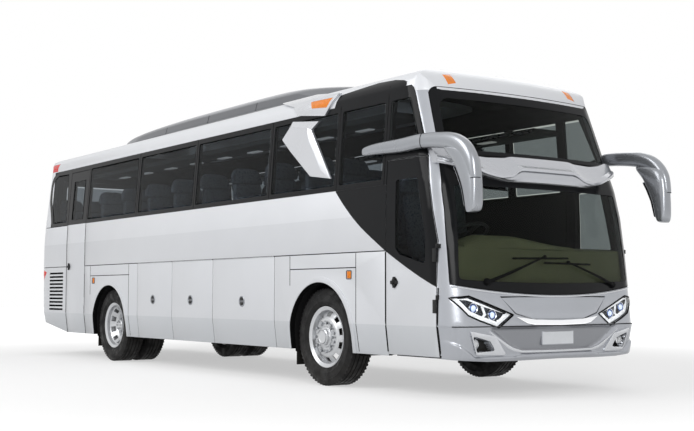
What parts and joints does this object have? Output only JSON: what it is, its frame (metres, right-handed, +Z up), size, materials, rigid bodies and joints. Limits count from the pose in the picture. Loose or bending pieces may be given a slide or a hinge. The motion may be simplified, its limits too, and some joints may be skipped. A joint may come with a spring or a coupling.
{
  "type": "coach bus",
  "caption": "Full-size single-deck coach with luggage bays under the floor, seats behind tinted windows, hinged doors and flaps, steered front wheels and twin rear wheels.",
  "frame": {"origin": "on the ground under the middle of the whole vehicle, mirrors included", "axes": "+X to the front, +Y to the left side, +Z up"},
  "size_m": [10.5587, 2.64, 3.3099],
  "materials": {
    "body_white": "gloss",
    "body_silver": "metallic",
    "dark_trim": "matte",
    "tinted_glass": "tinted",
    "clear_glass": "clear",
    "amber_lens": "lens",
    "red_lens": "lens",
    "lamp_glass": "lens",
    "rubber": "matte",
    "wheel_steel": "satin",
    "chassis_paint": "satin",
    "cast_steel": "rough",
    "floor_cover": "matte",
    "seat_fabric": "woven",
    "dash_plastic": "matte"
  },
  "bodies": {
    "coach": {"cab_floor": "floor_cover", "chassis_frame": "chassis_paint", "dashboard": "dash_plastic", "door_steps": "floor_cover", "engine_block": "cast_steel", "front_axle_beam": "cast_steel", "front_bumper": "body_silver", "front_lamps": "lamp_glass", "front_mask": "body_silver", "front_visor": "body_silver", "leaf_springs": "cast_steel", "luggage_bays": "chassis_paint", "luggage_racks": "dash_plastic", "marker_lamps": "amber_lens", "mirrors": "body_silver", "rear_axle_casing": "cast_steel", "rear_mask": "body_white", "roof_shell": "body_white", "roof_unit": "body_silver", "saloon_floor": "floor_cover", "seat_bases": "chassis_paint", "seat_cushions": "seat_fabric", "side_walls": "body_white", "side_wings": "body_silver", "skirt_panels": "body_white", "steering_column": "dash_plastic", "tail_lamps": "red_lens", "wheel_housings": "dark_trim", "window_panes": "tinted_glass", "windscreens": "clear_glass", "wipers": "dark_trim"},
    "right_knuckle": {"knuckle_right": "cast_steel"},
    "left_knuckle": {"knuckle_left": "cast_steel"},
    "steering_rod": {"track_rod": "cast_steel"},
    "driver_wheel": {"steering_wheel": "dash_plastic"},
    "front_wheel_right": {"front_tyre_right": "rubber", "front_rim_right": "wheel_steel"},
    "front_wheel_left": {"front_tyre_left": "rubber", "front_rim_left": "wheel_steel"},
    "rear_wheels_right": {"rear_tyre_right": "rubber", "rear_rim_right": "wheel_steel"},
    "rear_wheels_left": {"rear_tyre_left": "rubber", "rear_rim_left": "wheel_steel"},
    "driver_door_leaf": {"driver_door": "body_white", "driver_door_glass": "tinted_glass"},
    "entry_door_leaf": {"entry_door": "body_white", "entry_door_glass": "tinted_glass"},
    "emergency_door_leaf": {"emergency_door": "body_white", "emergency_door_glass": "tinted_glass"},
    "engine_cover": {"engine_lid": "body_white"},
    "front_cover": {"front_flap": "body_silver"},
    "front_bay_left": {"front_flap_left": "body_white"},
    "front_bay_right": {"front_flap_right": "body_white"},
    "middle_bay_left": {"middle_flap_left": "body_white"},
    "middle_bay_right": {"middle_flap_right": "body_white"},
    "rear_bay_left": {"rear_flap_left": "body_white"},
    "rear_bay_right": {"rear_flap_right": "body_white"}
  },
  "joints": [
    {"name": "steer_right", "type": "hinge", "parent": "coach", "child": "right_knuckle", "pos_m": [2.7975, -0.97, 0.5], "axis": [0, 0, 1], "range_deg": [-34, 34]},
    {"name": "steer_left", "type": "hinge", "parent": "coach", "child": "left_knuckle", "pos_m": [2.7975, 0.97, 0.5], "axis": [0, 0, 1], "range_deg": [-35, 35]},
    {"name": "track_rod_pivot", "type": "hinge", "parent": "right_knuckle", "child": "steering_rod", "pos_m": [2.6075, -0.97, 0.42], "axis": [0, 0, 1], "range_deg": [-35, 35]},
    {"name": "steering_wheel_turn", "type": "hinge", "parent": "coach", "child": "driver_wheel", "pos_m": [4.2825, -0.56, 1.48], "axis": [-0.5, 0, 0.866], "range_deg": [-620, 620]},
    {"name": "front_right_spin", "type": "hinge", "parent": "right_knuckle", "child": "front_wheel_right", "pos_m": [2.7975, -1.05, 0.5], "axis": [0, 1, 0], "continuous": true},
    {"name": "front_left_spin", "type": "hinge", "parent": "left_knuckle", "child": "front_wheel_left", "pos_m": [2.7975, 1.05, 0.5], "axis": [0, 1, 0], "continuous": true},
    {"name": "rear_right_spin", "type": "hinge", "parent": "coach", "child": "rear_wheels_right", "pos_m": [-2.4775, -1.05, 0.5], "axis": [0, 1, 0], "continuous": true},
    {"name": "rear_left_spin", "type": "hinge", "parent": "coach", "child": "rear_wheels_left", "pos_m": [-2.4775, 1.05, 0.5], "axis": [0, 1, 0], "continuous": true},
    {"name": "driver_door_hinge", "type": "hinge", "parent": "coach", "child": "driver_door_leaf", "pos_m": [4.6585, -1.25, 1], "axis": [0, 0, 1], "range_deg": [0, 75]},
    {"name": "entry_door_hinge", "type": "hinge", "parent": "coach", "child": "entry_door_leaf", "pos_m": [4.6585, 1.25, 1], "axis": [0, 0, -1], "range_deg": [0, 75]},
    {"name": "emergency_door_hinge", "type": "hinge", "parent": "coach", "child": "emergency_door_leaf", "pos_m": [-3.3665, -1.25, 1], "axis": [0, 0, 1], "range_deg": [0, 85]},
    {"name": "engine_lid_hinge", "type": "hinge", "parent": "coach", "child": "engine_cover", "pos_m": [-5.2775, 0, 1.334], "axis": [0, 1, 0], "range_deg": [0, 80]},
    {"name": "front_flap_hinge", "type": "hinge", "parent": "coach", "child": "front_cover", "pos_m": [4.96086, 0, 0.708], "axis": [0, 1, 0], "range_deg": [0, 85]},
    {"name": "front_bay_right_hinge", "type": "hinge", "parent": "coach", "child": "front_bay_right", "pos_m": [1.228, -1.25, 1.346], "axis": [-1, 0, 0], "range_deg": [0, 95]},
    {"name": "front_bay_left_hinge", "type": "hinge", "parent": "coach", "child": "front_bay_left", "pos_m": [1.228, 1.25, 1.346], "axis": [1, 0, 0], "range_deg": [0, 95]},
    {"name": "middle_bay_right_hinge", "type": "hinge", "parent": "coach", "child": "middle_bay_right", "pos_m": [-0.0005, -1.25, 1.346], "axis": [-1, 0, 0], "range_deg": [0, 95]},
    {"name": "middle_bay_left_hinge", "type": "hinge", "parent": "coach", "child": "middle_bay_left", "pos_m": [-0.0005, 1.25, 1.346], "axis": [1, 0, 0], "range_deg": [0, 95]},
    {"name": "rear_bay_right_hinge", "type": "hinge", "parent": "coach", "child": "rear_bay_right", "pos_m": [-1.0435, -1.25, 1.346], "axis": [-1, 0, 0], "range_deg": [0, 95]},
    {"name": "rear_bay_left_hinge", "type": "hinge", "parent": "coach", "child": "rear_bay_left", "pos_m": [-1.0435, 1.25, 1.346], "axis": [1, 0, 0], "range_deg": [0, 95]}
  ],
  "couplings": [
    {"joint": "steer_left", "follows": "steer_right", "ratio": 1},
    {"joint": "track_rod_pivot", "follows": "steer_right", "ratio": -1},
    {"joint": "steering_wheel_turn", "follows": "steer_right", "ratio": 18}
  ]
}
